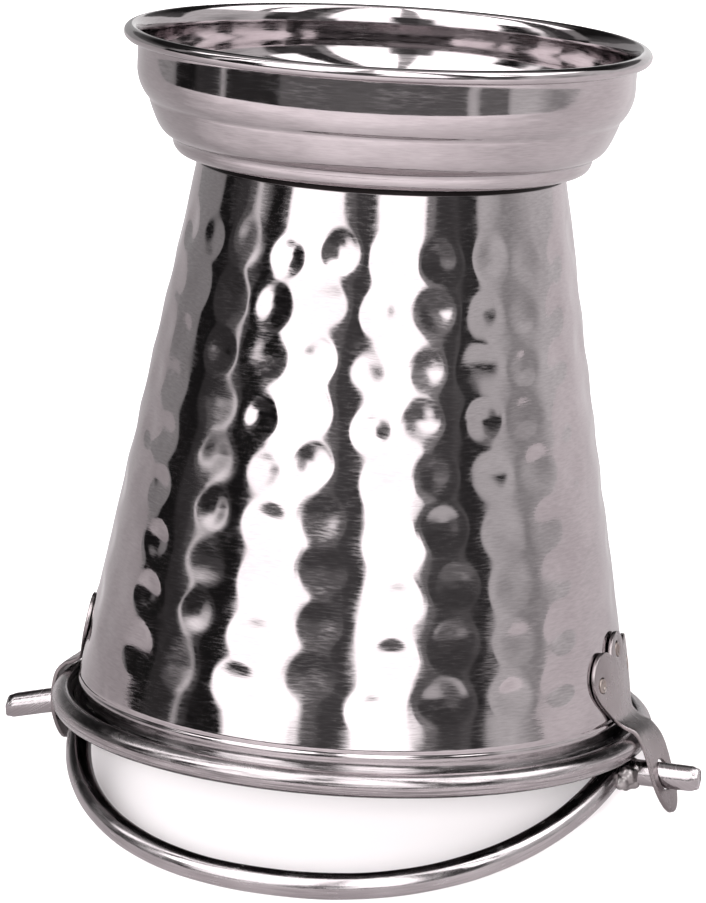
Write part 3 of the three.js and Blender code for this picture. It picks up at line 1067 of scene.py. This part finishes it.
LOW = [
    (-180, -112, PALE_LEFT),
    (-112, -97, BLACK),
    (-97, -85, 0.06),
    (-85, -81, 0.076),
    (-81, -78.5, 0.89),
    (-78.5, -50, 0.046),
    (-50, 36, 0.22),
    (36, 41, 1.02),
    (41, 56, 0.28),
    (56, 70, PALE_RIGHT),
    (80, 86, 0.55),
    (104, 180, PALE_RIGHT),
]
ABOVE = [
    (-180, -100, CANOPY),
    (-100, -82, 0.088),
    (-82, -16, CANOPY),
    (-16, -5, 0.81),
    (-5, 30, CANOPY),
    (30, 37, 0.51),
    (37, 52, 0.054),
    (52, 68, CANOPY),
    (68, 76, 0.21),
    (76, 180, CANOPY),
]
BEHIND = [(-180, -112, 1), (-112, 118, 0), (118, 180, 1)]  # where the dark cloth hangs
EDGE = 1.8  # degrees of blur between neighbours that touch. Others fade across their gap.

# Degrees of elevation over which each layer gives way to the next
LOW_TOP = (5, 7)
WALL_TOP = (12, 17)
HIGH_TOP = (28, 31.5)
CLOTH_BOTTOM = (4.5, 6)
CLOTH_MIDDLE = (8, 20)
CLOTH_TOP = (34, 62)
CLOTH_LOW = 0.15
CLOTH_HIGH = 0.58

FILL_POWER = 13
FILL_SPREAD = 35
FILL_TURN = -6
FILL_RISE = 15


def stage_disc(name, radius, height, material):
    """A round flat surface that isn't part of the object."""
    mesh = bpy.data.meshes.new(name)
    angles = np.linspace(0, 2 * math.pi, 96, endpoint=False)
    rim = [(radius * math.cos(a), radius * math.sin(a), height) for a in angles]
    mesh.from_pydata(rim, [], [tuple(range(len(rim)))])
    mesh.materials.append(material)
    made = bpy.data.objects.new(name, mesh)
    bpy.context.scene.collection.objects.link(made)
    return made


def floor_paint(name, greys):
    """Matt paint that changes slowly from left to right, and towards the front."""
    material = bpy.data.materials.new(name)
    nodes = Nodes(material)
    shader = nodes.find("BSDF_PRINCIPLED")
    place = nodes.add("TexCoord").outputs["Object"]
    split = nodes.add("SeparateXYZ")
    nodes.link(place, split.inputs[0])
    x, y, _ = split.outputs
    cloud = nodes.math("SUBTRACT", nodes.noise(place, 5, 3), 0.5)
    mottle = nodes.math("MULTIPLY", cloud, FLOOR_MOTTLE)
    across = nodes.spread(nodes.math("ADD", x, mottle), 0, 1, *FLOOR_ACROSS)
    ahead = nodes.spread(nodes.math("ADD", y, mottle), 1, 0, *FLOOR_AHEAD)
    left, right, front = (tuple(grey * c for c in FLOOR_WARMTH) for grey in greys)
    paint = nodes.tint(ahead, nodes.tint(across, left, right), front)
    nodes.link(paint, shader.inputs["Base Color"])
    shader.inputs["Roughness"].default_value = 0.9
    shader.inputs["Specular IOR Level"].default_value = 0.1
    return material


def studio_floor():
    """A plain pale floor. The steel mirrors a second, smaller and darker one, so that its edges
    stand out from the first."""
    pale = floor_paint("pale_floor", FLOOR_GREYS)
    floor = stage_disc("studio_floor", FLOOR_RADIUS, FLOOR_HEIGHT, pale)
    floor.visible_glossy = False
    dark = floor_paint("grey_floor", MIRRORED_GREYS)
    mirrored = stage_disc("mirrored_floor", MIRRORED_RADIUS, MIRRORED_HEIGHT, dark)
    mirrored.visible_camera = False
    mirrored.visible_diffuse = False
    mirrored.visible_shadow = False


def grey(value):
    return (value, value, value)


def ring_of(nodes, bearing, layer):
    """The greys of one layer of panels, by bearing from 0 to 1."""
    ramp = nodes.add("ValToRGB")
    nodes.link(bearing, ramp.inputs[0])
    stops = ramp.color_ramp.elements
    stops[0].position, stops[0].color = 0, (*grey(layer[0][2]), 1)
    stops[1].position, stops[1].color = 1, (*grey(layer[-1][2]), 1)
    for (_, end, before), (start, _, after) in zip(layer, layer[1:]):
        blur = 0 if start > end else EDGE / 2
        for edge, value in ((end - blur, before), (start + blur, after)):
            stops.new((edge + 180) / 360).color = (*grey(value), 1)
    return ramp.outputs[0]


def layered(nodes, rise, low, high, edges):
    """One layer below an elevation and another above it."""
    start, end = (math.sin(math.radians(e)) for e in edges)
    return nodes.tint(nodes.spread(rise, 0, 1, start, end), low, high)


def studio_panels():
    """The light all round: the four layers of panels, and a dark cloth behind them."""
    world = bpy.data.worlds.new("studio_panels")
    bpy.context.scene.world = world
    nodes = Nodes(world)
    background = nodes.find("BACKGROUND")
    split = nodes.add("SeparateXYZ")
    nodes.link(nodes.add("TexCoord").outputs["Generated"], split.inputs[0])
    x, y, rise = split.outputs
    bearing = nodes.math("ARCTAN2", x, nodes.math("MULTIPLY", y, -1))
    turned_by = nodes.math("ADD", bearing, math.pi - math.radians(CAMERA_AZIMUTH))
    wrapped = nodes.math("FLOORED_MODULO", turned_by, 2 * math.pi)
    round_from_back = nodes.math("DIVIDE", wrapped, 2 * math.pi)
    panels = ring_of(nodes, round_from_back, LOW)
    for layer, edges in ((WALL, LOW_TOP), (HIGH, WALL_TOP), (ABOVE, HIGH_TOP)):
        panels = layered(nodes, rise, panels, ring_of(nodes, round_from_back, layer), edges)
    cloth = layered(nodes, rise, grey(CLOTH_LOW), grey(BLACK), CLOTH_MIDDLE)
    cloth = layered(nodes, rise, cloth, grey(CLOTH_HIGH), CLOTH_TOP)
    hung = layered(nodes, rise, panels, cloth, CLOTH_BOTTOM)
    light = nodes.tint(ring_of(nodes, round_from_back, BEHIND), panels, hung)
    nodes.link(light, background.inputs["Color"])
    background.inputs["Strength"].default_value = 1


def fill_light():
    """A broad soft light from the front, which lights the floor under the raised rim."""
    lamp = bpy.data.lights.new("fill", "SUN")
    lamp.energy = FILL_POWER
    lamp.angle = math.radians(FILL_SPREAD)
    made = bpy.data.objects.new("fill", lamp)
    bpy.context.scene.collection.objects.link(made)
    turn = math.radians(CAMERA_AZIMUTH + FILL_TURN)
    made.rotation_euler = (math.radians(90 - FILL_RISE), 0, turn)
    made.visible_glossy = False


def camera():
    lens = bpy.data.cameras.new("camera")
    lens.lens = CAMERA_LENS
    lens.sensor_width = CAMERA_SENSOR
    made = bpy.data.objects.new("camera", lens)
    bpy.context.scene.collection.objects.link(made)
    made.location = CAMERA_AT
    tilt = math.radians(90 - CAMERA_ELEVATION)
    made.rotation_euler = (tilt, 0, math.radians(CAMERA_AZIMUTH))
    bpy.context.scene.camera = made


studio_floor()
studio_panels()
fill_light()
camera()
bpy.context.scene.view_settings.view_transform = "Standard"
